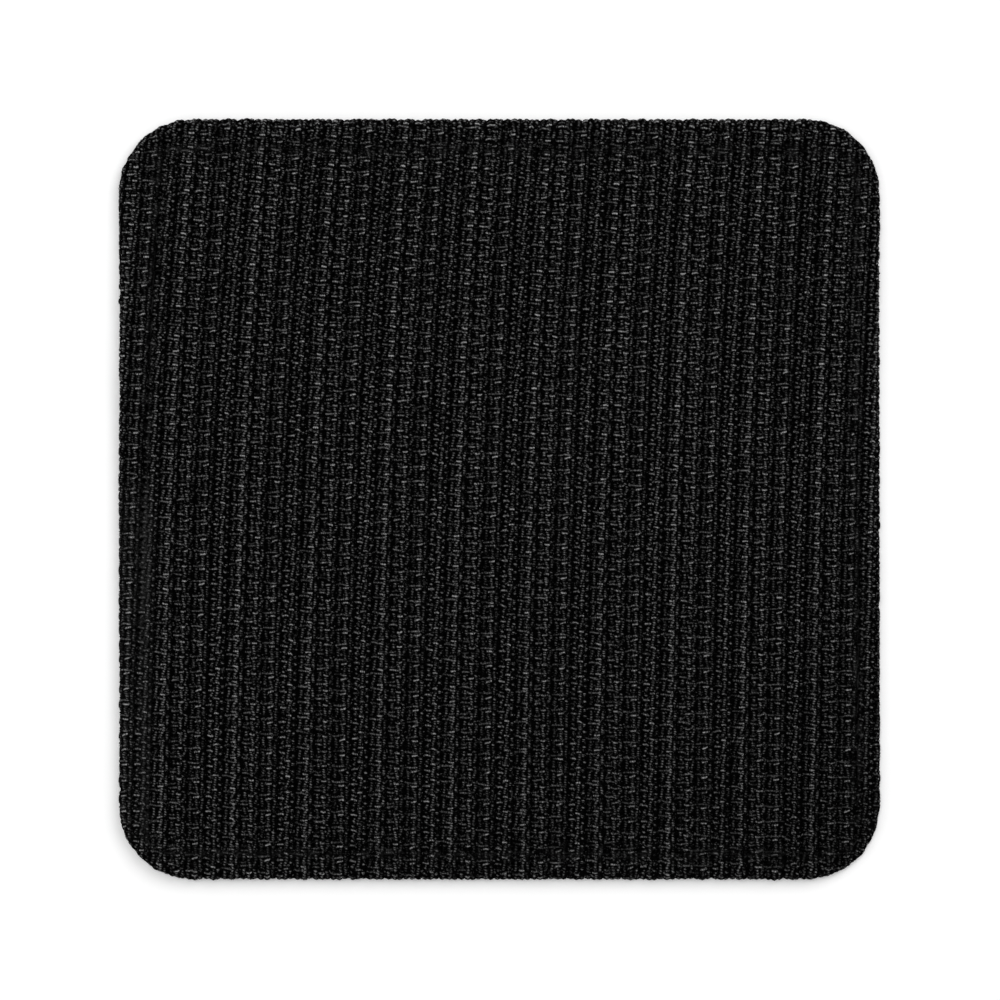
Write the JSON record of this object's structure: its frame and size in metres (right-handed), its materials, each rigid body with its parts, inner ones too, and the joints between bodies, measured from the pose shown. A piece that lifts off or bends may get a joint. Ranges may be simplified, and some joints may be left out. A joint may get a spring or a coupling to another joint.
{
  "type": "blank cloth patch",
  "caption": "Square pad of ribbed black cloth with rounded corners, a turned edge and a stitched line all round, sewn or glued on by its flat back.",
  "frame": {"origin": "middle of the flat underside, where the patch rests or is sewn on", "axes": "+Z out of the face, +Y along the ribs towards the picture's upper edge, +X across the ribs towards the picture's right edge"},
  "size_m": [0.0762, 0.0762, 0.002],
  "materials": {
    "black_cloth": "black ribbed canvas of spun yarn, matt with a soft sheen on the yarns",
    "black_thread": "black polyester sewing thread, slightly glossy"
  },
  "bodies": {
    "root": {"patch_cloth": "black_cloth"}
  },
  "joints": []
}
